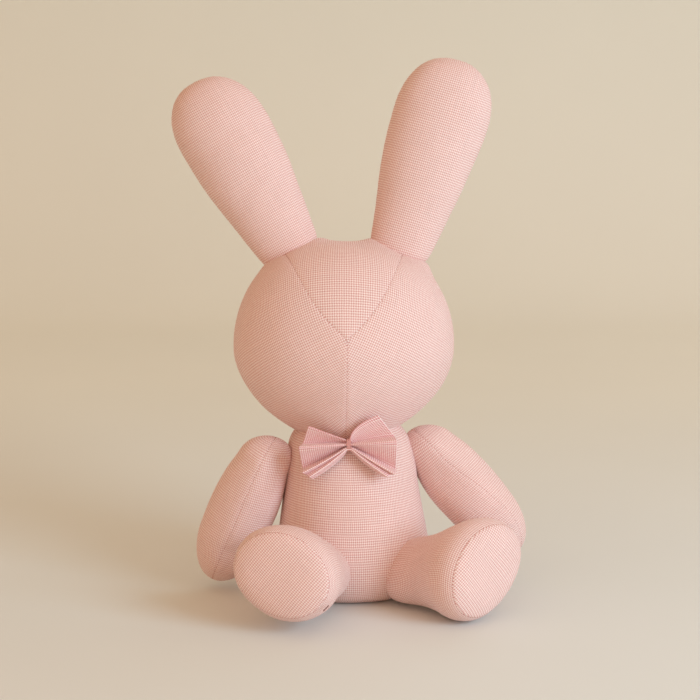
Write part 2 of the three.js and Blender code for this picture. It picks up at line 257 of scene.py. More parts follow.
def smoothed(piece):
    subdivision = piece.modifiers.new("smooth", "SUBSURF")
    subdivision.levels = subdivision.render_levels = 1
    subdivision.uv_smooth = "NONE"
    return run_modifiers(piece)


def coordinates(mesh):
    found = np.empty(len(mesh.vertices) * 3, np.float32)
    mesh.vertices.foreach_get("co", found)
    return found.reshape(-1, 3).astype(float)


def set_coordinates(mesh, points):
    mesh.vertices.foreach_set("co", points.astype(np.float32).ravel())
    mesh.update()


def normals(mesh):
    found = np.empty(len(mesh.vertices) * 3, np.float32)
    mesh.vertex_normals.foreach_get("vector", found)
    return found.reshape(-1, 3).astype(float)


# ---- Seams ----
def seam_chains(mesh):
    """Runs of vertices along the seams, where two panels meet."""
    panels = {}
    for face in mesh.polygons:
        for key in face.edge_keys:
            panels.setdefault(key, set()).add(face.material_index)
    links = {}
    for (a, b), sides in panels.items():
        if len(sides) > 1:
            links.setdefault(a, set()).add(b)
            links.setdefault(b, set()).add(a)
    chains, used = [], set()
    starts = sorted(v for v in links if len(links[v]) != 2) + sorted(links)
    for start in starts:
        for following in sorted(links[start]):
            if (start, following) in used:
                continue
            chain = [start, following]
            used |= {(start, following), (following, start)}
            while len(links[chain[-1]]) == 2 and chain[-1] != start:
                ahead = [v for v in sorted(links[chain[-1]]) if (chain[-1], v) not in used]
                if not ahead:
                    break
                used |= {(chain[-1], ahead[0]), (ahead[0], chain[-1])}
                chain.append(ahead[0])
            chains.append(chain)
    return chains


def seam_distance(points, chains, reach):
    """For each point, how far the nearest seam is and how far along it, in metres."""
    near = np.full(len(points), reach)
    along = np.zeros(len(points))
    start_length = 0.0
    for chain in chains:
        line = points[chain]
        for a, b in zip(line[:-1], line[1:]):
            step = b - a
            length = max(np.linalg.norm(step), 1e-9)
            close = np.flatnonzero(np.abs(points - a).max(axis=1) < reach + length)
            t = np.clip((points[close] - a) @ step / length**2, 0, 1)
            distance = np.linalg.norm(points[close] - (a + t[:, None] * step), axis=1)
            better = distance < near[close]
            near[close[better]] = distance[better]
            along[close[better]] = start_length + t[better] * length
            start_length += length
    return near, along


def sink_seams(piece, depth=0.34, shoulder=0.2):
    """Draws the surface in along its seams, with small puckers beside them. The groove at the seam and
    the slope that leads to it have a depth each."""
    groove_width, shoulder_width, pucker_width = 1.1, 6.5, 2.6
    pucker, pucker_aside, pucker_step = 0.08, 2.4, 4.9  # height, way from the seam, and step along it
    points = coordinates(piece.data)
    chains = seam_chains(piece.data)
    near, along = seam_distance(points, chains, 0.02)
    near, along = near / MM, along / MM
    drop = depth * np.exp(-((near / groove_width) ** 2))
    drop += shoulder * np.exp(-((near / shoulder_width) ** 2))
    waves = np.cos(2 * math.pi * along / pucker_step)
    waves += 0.6 * np.cos(2 * math.pi * along / (pucker_step * 2.7))
    drop += pucker * waves * np.exp(-(((near - pucker_aside) / pucker_width) ** 2))
    set_coordinates(piece.data, points - normals(piece.data) * (drop * MM)[:, None])
    return chains


def lumps(piece, height=0.5, size=26):
    """Slight unevenness of hand-filled stuffing."""
    points = coordinates(piece.data)
    lift = np.array([noise.noise(Vector(p / MM / size)) for p in points]) * height * MM
    set_coordinates(piece.data, points + normals(piece.data) * lift[:, None])


def open_under(piece, centre, matrix, half_sizes):
    """Cuts the hole in a cover where another stuffed piece is sewn on. The hole's edge is on a spheroid
    round that piece's joint, just under its surface."""
    inverse = np.linalg.inv(matrix[:3, :3])
    mesh = piece.data
    points = (coordinates(mesh) / MM - centre) @ inverse.T / half_sizes
    radius = np.linalg.norm(points, axis=1)
    work = bmesh.new()
    work.from_mesh(mesh)
    gone = [face for face in work.faces if all(radius[v.index] < 1 for v in face.verts)]
    bmesh.ops.delete(work, geom=gone, context="FACES")
    work.to_mesh(mesh)
    work.free()


# ---- Materials ----
class Nodes:
    """A short way to build a material's node tree."""

    def __init__(self, name):
        self.material = bpy.data.materials.new(name)
        self.material.use_nodes = True
        self.tree = self.material.node_tree
        self.shader = self.tree.nodes["Principled BSDF"]

    def add(self, kind, inputs=None, **settings):
        node = self.tree.nodes.new(kind)
        for key, value in settings.items():
            setattr(node, key, value)
        for key, value in (inputs or {}).items():
            self.put(node.inputs[key], value)
        return node

    def put(self, socket, value):
        if isinstance(value, bpy.types.NodeSocket):
            self.tree.links.new(value, socket)
        else:
            socket.default_value = value

    def math(self, operation, a, b=0.0, c=0.0):
        node = self.tree.nodes.new("ShaderNodeMath")
        node.operation = operation
        for socket, value in zip(node.inputs, (a, b, c)):
            self.put(socket, value)
        return node.outputs[0]

    def vector(self, operation, inputs):
        return self.add("ShaderNodeVectorMath", inputs, operation=operation).outputs[0]

    def mapped(self, value, start, end, low=0.0, high=1.0, kind="LINEAR"):
        """A value taken from one span to another."""
        inputs = {0: value, 1: start, 2: end, 3: low, 4: high}
        return self.add("ShaderNodeMapRange", inputs, interpolation_type=kind).outputs[0]

    def mix(self, share, a, b):
        node = self.tree.nodes.new("ShaderNodeMix")
        node.data_type = "RGBA"
        self.put(node.inputs[0], share)
        self.put(node.inputs[6], a)
        self.put(node.inputs[7], b)
        return node.outputs[2]

    def tint(self, colour, shade):
        """Makes the base colour a colour times a shade."""
        self.put(self.shader.inputs["Base Color"], self.vector("SCALE", {0: colour, "Scale": shade}))


def linear(red, green, blue):
    """A colour given in screen values 0 to 255, as linear light."""
    parts = [value / 255 for value in (red, green, blue)]
    return (*[p / 12.92 if p <= 0.04045 else ((p + 0.055) / 1.055) ** 2.4 for p in parts], 1)


def gingham(name, pale, rose, roughness=0.88):
    """A fine check in plain weave: two pale yarns and two rose ones each way."""
    n = Nodes(name)
    cloth = n.add("ShaderNodeUVMap", uv_map="cloth").outputs[0]
    wobble = {"Vector": cloth, "Scale": 130, "Detail": 2.0, "Roughness": 0.6}
    wobble = n.add("ShaderNodeTexNoise", wobble)
    shift = n.vector("SUBTRACT", {0: wobble.outputs["Color"], 1: (0.5, 0.5, 0.5)})
    shift = n.vector("SCALE", {0: shift, "Scale": 0.0005})
    moved = n.vector("ADD", {0: cloth, 1: shift})
    split = n.add("ShaderNodeSeparateXYZ", {0: moved})

    def wave(way, length):
        return n.math("SINE", n.math("MULTIPLY", split.outputs[way], 2 * math.pi / (length * MM)))

    def step(value, softness):
        return n.mapped(value, -softness, softness, kind="SMOOTHSTEP")

    warp_rose = step(wave(0, CHECK_ACROSS), 0.3)
    weft_rose = step(wave(1, CHECK_ALONG), 0.3)
    crossing = n.math("MULTIPLY", wave(0, CHECK_ACROSS / 2), wave(1, CHECK_ALONG / 2))
    warp_on_top = step(crossing, 0.25)
    difference = n.math("SUBTRACT", warp_rose, weft_rose)
    rose_share = n.math("MULTIPLY_ADD", difference, warp_on_top, weft_rose)

    # Each yarn varies a little along its length, and from its neighbours
    def yarn(scale_u, scale_v):
        stretched = n.vector("MULTIPLY", {0: cloth, 1: (scale_u, scale_v, 1)})
        streak = n.add("ShaderNodeTexNoise", {"Vector": stretched, "Scale": 1.0, "Detail": 1.0})
        return streak.outputs[0]

    streaks = n.math("ADD", yarn(900, 40), yarn(40, 900))
    patches = n.add("ShaderNodeTexNoise", {"Vector": cloth, "Scale": 28, "Detail": 3.0}).outputs[0]
    tone = n.math("ADD", n.math("MULTIPLY", streaks, 0.32), n.math("MULTIPLY", patches, 0.14))
    shade = n.mapped(tone, 0.25, 0.55, 0.93, 1.05)
    n.tint(n.mix(rose_share, pale, rose), shade)

    height = n.math("POWER", n.math("ABSOLUTE", crossing), 0.6)
    fuzz = n.add("ShaderNodeTexNoise", {"Vector": cloth, "Scale": 2600, "Detail": 2.0})
    height = n.math("ADD", height, n.math("MULTIPLY", fuzz.outputs[0], 0.35))
    bump = n.add("ShaderNodeBump", {"Height": height, "Strength": 0.4, "Distance": 0.00018})
    n.put(n.shader.inputs["Normal"], bump.outputs[0])
    n.put(n.shader.inputs["Roughness"], n.mapped(tone, 0.2, 0.6, roughness - 0.05, roughness + 0.05))
    n.shader.inputs["Specular IOR Level"].default_value = 0.25
    n.shader.inputs["Sheen Weight"].default_value = 0.25
    n.shader.inputs["Sheen Roughness"].default_value = 0.45
    n.shader.inputs["Sheen Tint"].default_value = (1, 0.93, 0.9, 1)
    return n.material


def fibrous(name, colour, size):
    """Thread, wadding or muslin: fine fibres with a little colour variation."""
    n = Nodes(name)
    place = n.add("ShaderNodeTexCoord").outputs["Object"]
    grain = {"Vector": place, "Scale": 1 / (size * MM), "Detail": 4.0, "Distortion": 1.5}
    fibres = n.add("ShaderNodeTexNoise", grain).outputs[0]
    shade = n.mapped(fibres, 0.3, 0.7, 0.8, 1.08)
    n.tint(colour[:3], shade)
    bump = n.add("ShaderNodeBump", {"Height": fibres, "Strength": 0.6, "Distance": size * MM * 0.5})
    n.put(n.shader.inputs["Normal"], bump.outputs[0])
    n.put(n.shader.inputs["Roughness"], n.mapped(fibres, 0.3, 0.7, 0.8, 0.95))
    n.shader.inputs["Sheen Weight"].default_value = 0.3
    return n.material


PINK = gingham("pink_cloth", pale=linear(250, 232, 226), rose=linear(216, 157, 150))
BOW_PINK = gingham("bow_cloth", pale=linear(255, 238, 234), rose=linear(218, 138, 142), roughness=0.82)
THREAD = fibrous("thread", linear(186, 124, 112), 0.35)
CLOSING_THREAD = fibrous("closing_thread", linear(132, 80, 72), 0.35)
BOW_THREAD = fibrous("bow_thread", linear(232, 168, 160), 0.35)
WADDING = fibrous("polyester_stuffing", linear(243, 240, 234), 3.0)
MUSLIN = fibrous("pellet_bag", linear(222, 214, 198), 0.9)


# ---- Finishing a stuffed body: its panels, threads and filling ----
def to_row(piece, matrix):
    """Moves a mesh made in a limb's own frame to the row frame."""
    points = coordinates(piece.data) / MM
    moved = points @ matrix[:3, :3].T + matrix[:3, 3]
    set_coordinates(piece.data, moved * MM)


def thread_stitches(name, body, points, chains, outward, step=2.45, length=0.9, radius=0.28, lean=0.35):
    """Small threads across the seams, one mesh for a body. A greater lean lays them along the seam."""
    work = bmesh.new()
    lying = Matrix.Rotation(math.pi / 2, 4, "Y")
    for chain in chains:
        line = points[chain]
        lengths = np.r_[0, np.cumsum(np.linalg.norm(np.diff(line, axis=0), axis=1))] / MM
        for at in np.arange(step / 2, lengths[-1], step):
            i = min(np.searchsorted(lengths, at, side="right") - 1, len(line) - 2)
            share = (at - lengths[i]) / max(lengths[i + 1] - lengths[i], 1e-9)
            here = line[i] + share * (line[i + 1] - line[i])
            ahead = line[i + 1] - line[i]
            ahead /= np.linalg.norm(ahead)
            up = outward[chain[i]]
            across = np.cross(up, ahead)
            across /= np.linalg.norm(across)
            slant = across + lean * ahead
            slant /= np.linalg.norm(slant)
            up = np.cross(ahead, across)
            middle = here / MM + up * 0.05
            place = turned(slant * length, np.cross(up, slant) * radius, up * radius, middle)
            place = Matrix(place.tolist())
            made = bmesh.ops.create_uvsphere(work, u_segments=6, v_segments=4, radius=1, matrix=lying)
            for v in made["verts"]:
                v.co.x *= 0.5
                v.co = place @ v.co
    for v in work.verts:
        v.co *= MM
    mesh = bpy.data.meshes.new(name)
    work.to_mesh(mesh)
    work.free()
    piece = in_scene(name, mesh)
    mesh.materials.append(THREAD)
    mesh.shade_smooth()
    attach(piece, body)
    return piece


def one_material(mesh, material):
    mesh.materials.clear()
    mesh.materials.append(material)
    for face in mesh.polygons:
        face.material_index = 0


def panel_pieces(cover, names, body):
    """Cuts a finished cover into its sewn panels, gives them the cloth's thickness, and has them stand
    for the CAD nodes of the same names."""
    pieces = []
    for index, name in enumerate(names):
        work = bmesh.new()
        work.from_mesh(cover.data)
        others = [face for face in work.faces if face.material_index != index]
        bmesh.ops.delete(work, geom=others, context="FACES")
        mesh = bpy.data.meshes.new(f"{name}_cloth")
        work.to_mesh(mesh)
        work.free()
        piece = in_scene(f"{name}_cloth", mesh)
        one_material(mesh, PINK)
        thickness = piece.modifiers.new("cloth thickness", "SOLIDIFY")
        thickness.thickness = CLOTH * MM
        thickness.offset = -1
        thickness.use_rim = True
        run_modifiers(piece)
        finish_shading(piece.data)
        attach(piece, body)
        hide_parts(name)
        pieces.append(piece)
    bpy.data.objects.remove(cover)
    return pieces


def finish_shading(mesh):
    """Smooth, but for the sharp edges where the cloth is cut or folded."""
    sharp = math.radians(55)
    mesh.shade_smooth()
    work = bmesh.new()
    work.from_mesh(mesh)
    for edge in work.edges:
        if len(edge.link_faces) == 2 and edge.calc_face_angle(0) > sharp:
            edge.smooth = False
    work.to_mesh(mesh)
    work.free()


def closing_stitches(panel, body, middle, way):
    """The short ladder of stitches that closes the gap the filling went in by."""
    count, half_length = 6, 3.0
    points, outward = coordinates(panel.data), normals(panel.data)
    outside = outward[:, 1] < -0.5
    points, outward = points[outside], outward[outside]
    line, up = [], []
    for at in np.linspace(-half_length, half_length, count):
        place = (middle + at * way) * MM
        aside = np.hypot(points[:, 0] - place[0], points[:, 2] - place[2])
        nearest = np.argsort(aside)[:6]
        share = 1 / (aside[nearest] + 0.5 * MM)
        share /= share.sum()
        up.append(share @ outward[nearest])
        line.append(np.array([place[0], share @ points[nearest, 1], place[2]]) + up[-1] * 0.25 * MM)
    piece = thread_stitches(
        f"{body}_closing_threads", body, np.array(line), [list(range(count))], np.array(up),
        step=1.9, length=2.3, radius=0.5, lean=4,
    )
    piece.data.materials[0] = CLOSING_THREAD


def filling_piece(name, cover, body):
    """The wadding inside a cover: the same form, drawn in and uneven."""
    depth, lump_height, lump_size, tuft_size = 2.6, 0.8, 7, 2.6
    piece = cover.copy()
    piece.data = cover.data.copy()
    piece.name = f"{name}_wadding"
    bpy.context.scene.collection.objects.link(piece)
    points = coordinates(piece.data)
    lift = np.array([
        noise.noise(Vector(p / MM / lump_size)) + 0.5 * noise.noise(Vector(p / MM / tuft_size))
        for p in points
    ])
    inward = (depth - lump_height * lift) * MM
    set_coordinates(piece.data, points - normals(piece.data) * inward[:, None])
    one_material(piece.data, WADDING)
    piece.data.shade_smooth()
    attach(piece, body)
    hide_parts(name)
    return piece


def puffed(cover, chains):
    """Stuffs a cover by cloth simulation: pressure swells it between its seams, which hold."""
    steps, cap = 20, 1.3  # no part of the cover moves further than the cap
    before = coordinates(cover.data)
    held = cover.vertex_groups.new(name="seams")
    held.add(sorted({v for chain in chains for v in chain}), 1.0, "REPLACE")
    settings = cover.modifiers.new("stuffed", "CLOTH").settings
    settings.quality = 5
    settings.use_pressure = True
    settings.uniform_pressure_force = 4
    settings.vertex_group_mass = "seams"
    settings.effector_weights.gravity = 0
    scene = bpy.context.scene
    for step in range(1, steps + 1):
        scene.frame_set(step)
    graph = bpy.context.evaluated_depsgraph_get()
    after = coordinates(cover.evaluated_get(graph).data)
    scene.frame_set(1)
    cover.modifiers.clear()
    cover.vertex_groups.clear()
    move = after - before
    length = np.linalg.norm(move, axis=1, keepdims=True) / MM
    set_coordinates(cover.data, before + move * np.minimum(1, cap / np.maximum(length, 1e-9)))


def sew(cover, names, body, filling, holes=()):
    """Takes a closed body in the row frame to its finished panels, threads and filling."""
    puffed(cover, seam_chains(cover.data))
    filling_piece(filling, cover, body)
    smoothed(cover)
    lumps(cover)
    chains = sink_seams(cover)
    points, outward = coordinates(cover.data), normals(cover.data)
    kept = [chain for chain in chains if len(chain) > 3]
    thread_stitches(f"{body}_seam_threads", body, points, kept, outward)
    for centre, matrix, half_sizes in holes:
        open_under(cover, centre, matrix, half_sizes)
    return panel_pieces(cover, names, body)


def pulled(cover, centre, way, amount, sharpness=2, reach=22):
    """Draws the part of a body that lies one way from a point further out that way."""
    way = np.array(way, float) / np.linalg.norm(way)
    points = coordinates(cover.data) / MM
    offsets = points - centre
    distance = np.linalg.norm(offsets, axis=1)
    share = np.clip(offsets @ way / distance, 0, 1) ** sharpness * np.clip(2.2 - distance / reach, 0, 1)
    set_coordinates(cover.data, (points + np.outer(share * amount, way)) * MM)


def shifted(cover, matrix, by, start, end):
    """Moves a limb by nothing before one distance along it, and by the whole amount after another."""
    points = coordinates(cover.data) / MM
    along = (points - matrix[:3, 3]) @ matrix[:3, 2]
    share = np.clip((along - start) / (end - start), 0, 1)
    share = share * share * (3 - 2 * share)
    set_coordinates(cover.data, (points + np.outer(share, by)) * MM)


def dented(cover, centre, radius, depth):
    """Presses a soft hollow into a body."""
    points = coordinates(cover.data) / MM
    near = np.linalg.norm(points - centre, axis=1)
    drop = depth * np.exp(-((near / radius) ** 2))
    set_coordinates(cover.data, (points - normals(cover.data) * drop[:, None]) * MM)


# ---- Ears ----
# The tip of each ear is filled out to one side: which way, and how far
EAR_FILLED_OUT = {"right": ((-0.85, 0, 0.5), 2), "left": ((0.95, 0, 0.1), 1.6)}


def ear(side, matrix):
    tip_from = EAR_LENGTH[side] - EAR_TIP
    body = [(0, 24, 15.5), (28, 28.7, 20), (56, 33, 23.5), (80, 35.4, 25), (tip_from, 36, 24.5)]
    body = through(body, 40)
    tip = round_tip(tip_from, 36, 24.5, EAR_TIP, 16, 2.3)
    outline, _ = evenly([np.vstack([round_root(EAR_ROOT, 10), body[1:], tip[1:]])])
    sides = 56
    points = grid_points(outline, sides)
    around, along = cloth_lengths(points)
    quarter = sides // 4

    def panel_of(ring, side_index):
        return 1 if side_index < sides // 2 else 0

    def on_cloth(panel, ring, side_index):
        middle = around[ring, quarter if panel else 3 * quarter]
        return around[ring, side_index] - middle, along[ring]

    cover = closed_grid(f"ear_{side}", points, panel_of, on_cloth)
    to_row(cover, matrix)
    way, amount = EAR_FILLED_OUT[side]
    pulled(cover, matrix[:3, 3] + 108 * matrix[:3, 2], way, amount, 1.5, 36)
    sew(cover, [f"ear_{side}_front", f"ear_{side}_back"], f"ear_{side}", f"ear_{side}_stuffing")


# ---- Arms ----
# The sewn end of each arm is drawn in to the trunk: which way, and how far
SHOULDER = {"right": ((0.85, -0.05, 0.5), 4), "left": ((-0.85, -0.1, 0.5), 5)}
# Hollows pressed into each arm: their middle, radius and depth
PRESSED = {
    "right": [((-53, -22, 102), 7, 2.8), ((-94, -21, 31), 10, 4)],
    "left": [((66, 2, 88), 14, 2)],
}
SEAM_TWIST = {"right": 0, "left": math.radians(26)}  # of the side seams, at the shoulder


def arm(side, matrix):
    body = through([(0, 20, 20), (14, 23.5, 21.3), (30, 25.3, 22), (46, 25.5, 22), (60, 25, 21.6)], 30)
    tip = round_tip(ARM_LENGTH - ARM_TIP, 25, 21.6, ARM_TIP, 14)
    outline, _ = evenly([np.vstack([round_root(np.full(3, ARM_ROOT), 10), body[1:], tip[1:]])])
    sides = 44
    points = grid_points(outline, sides)
    angles = np.arange(sides) * 2 * math.pi / sides
    ridge = 2.3 * np.exp(-((np.abs(np.abs(angles - math.pi) - math.pi / 2) / 0.33) ** 2))
    for ring, (height, width, _) in enumerate(outline):
        share = min(1, (width / ARM_ROOT) ** 2)
        points[ring, :, :2] *= (1 + share * ridge / max(width, 1))[:, None]
        turn = SEAM_TWIST[side] * min(1.2, max(0, (70 - height) / 50))
        points[ring, :, :2] = points[ring, :, :2] @ spun(turn)
    around, along = cloth_lengths(points)
    quarter = sides // 4
    outer_is_plus = side == "right"

    def panel_of(ring, side_index):
        plus = side_index < quarter or side_index >= 3 * quarter
        return 0 if plus == outer_is_plus else 1

    def on_cloth(panel, ring, side_index):
        plus = (panel == 0) == outer_is_plus
        if plus:
            wrapped = side_index if side_index <= quarter else side_index - sides
            distance = around[ring, wrapped % sides] - (around[ring, sides] if wrapped < 0 else 0)
            return distance, along[ring]
        return around[ring, side_index] - around[ring, 2 * quarter], along[ring]

    cover = closed_grid(f"arm_{side}", points, panel_of, on_cloth)
    to_row(cover, matrix)
    way, amount = SHOULDER[side]
    pulled(cover, matrix[:3, 3], way, amount)
    for centre, radius, depth in PRESSED[side]:
        dented(cover, np.array(centre), radius, depth)
    sew(cover, [f"arm_{side}_outer", f"arm_{side}_inner"], f"arm_{side}", f"arm_{side}_stuffing")


# ---- Legs ----
TUBE = {
    "right": [
        (0, 26, 21.5), (20, 31, 26), (40, 36.5, 31), (54, 39.3, 32.6), (63, 38.8, 32),
        (SOLE_AT, 36, 29),
    ],
    "left": [
        (0, 24, 20), (20, 28, 24), (40, 35, 30), (54, 39.5, 33), (64, 39, 32),
        (SOLE_AT, 36.5, 28.8),
    ],
}
SECTION_TURN = {"right": math.radians(18), "left": 0}
# The sewn end of each leg is drawn in to the trunk: which way, and how far
HIP = {"right": ((0.8, -0.5, -0.2), 4), "left": ((-0.6, -0.5, -0.5), 8)}


def leg(side, matrix):
    tube = through(TUBE[side], 40)
    root = round_root((tube[0, 1], tube[0, 2], tube[0, 2]), 12)
    sole = through([(SOLE_AT, 38, 30), (73.5, 29, 23), (75.5, 16, 12), (LEG_LENGTH, 0, 0)], 16)
    outline, (sole_ring, _) = evenly([np.vstack([root, tube[1:]]), sole])
    sides = 60
    points = grid_points(outline, sides)
    points[:, :, :2] = points[:, :, :2] @ spun(SECTION_TURN[side])
    around, along = cloth_lengths(points)
    top = sides // 4

    def panel_of(ring, side_index):
        return 1 if ring >= sole_ring else 0

    def on_cloth(panel, ring, side_index):
        if panel:
            return points[ring, side_index % sides, 1], points[ring, side_index % sides, 0]
        return around[ring, side_index] - around[ring, top], along[ring]

    cover = closed_grid(f"leg_{side}", points, panel_of, on_cloth)
    to_row(cover, matrix)
    way, amount = HIP[side]
    pulled(cover, matrix[:3, 3], way, amount, 2.2)
    if side == "right":
        shifted(cover, matrix, (-1.8, 0, 2.1), 0, 50)
    else:
        shifted(cover, matrix, (0, 0, -4.5), 62, 8)
        heel = matrix[:3, 3] + 60 * matrix[:3, 2]
        pulled(cover, heel, (0.72, 0.65, 0.25), 5.5, 2, 36)
    pieces = sew(cover, [f"leg_{side}_tube", f"leg_{side}_sole"], f"leg_{side}", f"leg_{side}_stuffing")
    if side == "right":
        middle, way = np.array([-20.4, -111, 24.5]), np.array([-0.68, 0, -0.73])
        closing_stitches(pieces[1], f"leg_{side}", middle, way)


# ---- Trunk ----
def trunk():
    wall = [
        (BASE_SEAM, 47), (4.5, 50.5), (15, 57.5), (30, 59), (48, 56), (66, 52.8), (84, 50.8),
        (96, 49.8), (109, 47), (116, 44.8), (121, 41.5), (125, 37.6), (NECK_HEIGHT + 10.5, 36),
    ]
    wall = through([(z, radius, radius * TRUNK_DEPTH) for z, radius in wall], 60)
    dome_angles = np.linspace(math.asin(10.5 / NECK_RADIUS), math.pi / 2, 14)[1:]
    ring = NECK_RADIUS * np.cos(dome_angles)
    dome = np.column_stack([NECK_HEIGHT + NECK_RADIUS * np.sin(dome_angles), ring, ring])
    base = [(0, 0), (0, 20), (0, 38), (0.5, 43), (BASE_SEAM, 47)]
    base = np.array([(z, radius, radius * TRUNK_DEPTH) for z, radius in base], float)
    outline, (base_ring, _) = evenly([base, np.vstack([wall, dome])])
    sides = 96
    points = grid_points(outline, sides)
    around, along = cloth_lengths(points)
    quarter = sides // 4

    def panel_of(ring, side_index):
        if ring < base_ring:
            return 3
        if side_index >= 2 * quarter:
            return 0
        return 1 if side_index < quarter else 2

    def on_cloth(panel, ring, side_index):
        if panel == 3:
            return tuple(points[ring, side_index % sides, :2])
        middle = (3 * quarter, quarter, quarter)[panel]
        return around[ring, side_index] - around[ring, middle], along[ring]

    cover = closed_grid("torso", points, panel_of, on_cloth)
    local = coordinates(cover.data) / MM
    height = np.minimum(local[:, 2], NECK_HEIGHT)[:, None]
    local[:, :2] = local[:, :2] @ spun(TRUNK_TURN) + height * LEAN
    set_coordinates(cover.data, local * MM)
    under = 3.0
    holes = [(m[:3, 3], m, np.full(3, ARM_ROOT - under)) for m in ARMS.values()]
    holes += [(m[:3, 3], m, LEG_ROOT - under) for m in LEGS.values()]
    sew(
        cover, ["torso_front", "torso_back_left", "torso_back_right", "torso_base"],
        "torso", "torso_stuffing", holes,
    )


# ---- Head ----
def head_surface(way):
    """The point of the head's surface that lies in a given direction, in the head's frame."""
    height, fullness = HEAD_ABOVE if way[2] > 0 else HEAD_BELOW
    size = (math.hypot(way[0], way[1]) ** fullness + abs(way[2]) ** fullness) ** (-1 / fullness)
    x, y, z = way * size * np.array([HEAD_WIDTH, HEAD_DEPTH, height])
    return np.array([
        x * math.cos(HEAD_TURN) - y * math.sin(HEAD_TURN),
        x * math.sin(HEAD_TURN) + y * math.cos(HEAD_TURN),
        z,
    ])


def flared(cover, side, inner_height, outer_height):
    """Lifts the cloth of the head in a curve against the edges of an ear."""
    reach, ear_thickness = 4.5, 26
    matrix = EARS[side]
    inner = 1 if side == "right" else -1
    points = coordinates(cover.data) / MM
    local = (points - matrix[:3, 3]) @ matrix[:3, :3]
    radial = np.hypot(local[:, 0] / EAR_ROOT[0], local[:, 1] / EAR_ROOT[1])
    gap = np.maximum(radial - 1, 0) * np.hypot(local[:, 0], local[:, 1]) / np.maximum(radial, 1e-6)
    edge = local[:, 0] * inner / EAR_ROOT[0]
    height = inner_height * np.clip(edge, 0, 1) ** 2 + outer_height * np.clip(-edge, 0, 1) ** 2
    lift = height * np.exp(-gap / reach) * (np.abs(local[:, 2]) < ear_thickness)
    set_coordinates(cover.data, (points + np.outer(lift, matrix[:3, 2])) * MM)


def ridged(cover):
    """Raises the face along the seam down its middle, from the point of the V to the chin."""
    height, width = 3, 14
    points = coordinates(cover.data) / MM
    local = (points - head_frame[:3, 3]) @ head_frame[:3, :3]
    aside = local[:, 0] * math.cos(HEAD_TURN) + local[:, 1] * math.sin(HEAD_TURN)
    below_v = np.clip((24 - local[:, 2]) / 24, 0, 1)
    above_chin = np.clip((local[:, 2] + 76) / 26, 0, 1)
    lift = height * np.exp(-np.abs(aside) / width) * (below_v * above_chin) * (local[:, 1] < 0)
    way = head_frame[:3, :3] @ np.array([math.sin(HEAD_TURN), -math.cos(HEAD_TURN), 0])
    set_coordinates(cover.data, (points + np.outer(lift, way)) * MM)


def drooped(cover, chin):
    """Lowers the chin over the front of the neck."""
    amount, width, depth, height = 8, 26, 15, 16
    points = coordinates(cover.data)
    x, y, z = (points / MM - chin).T
    share = np.exp(-((x / width) ** 2) - ((y + 36) / depth) ** 2 - ((z - 4) / height) ** 2)
    set_coordinates(cover.data, points - np.outer(share * amount, [0, 0.1, 1]) * MM)


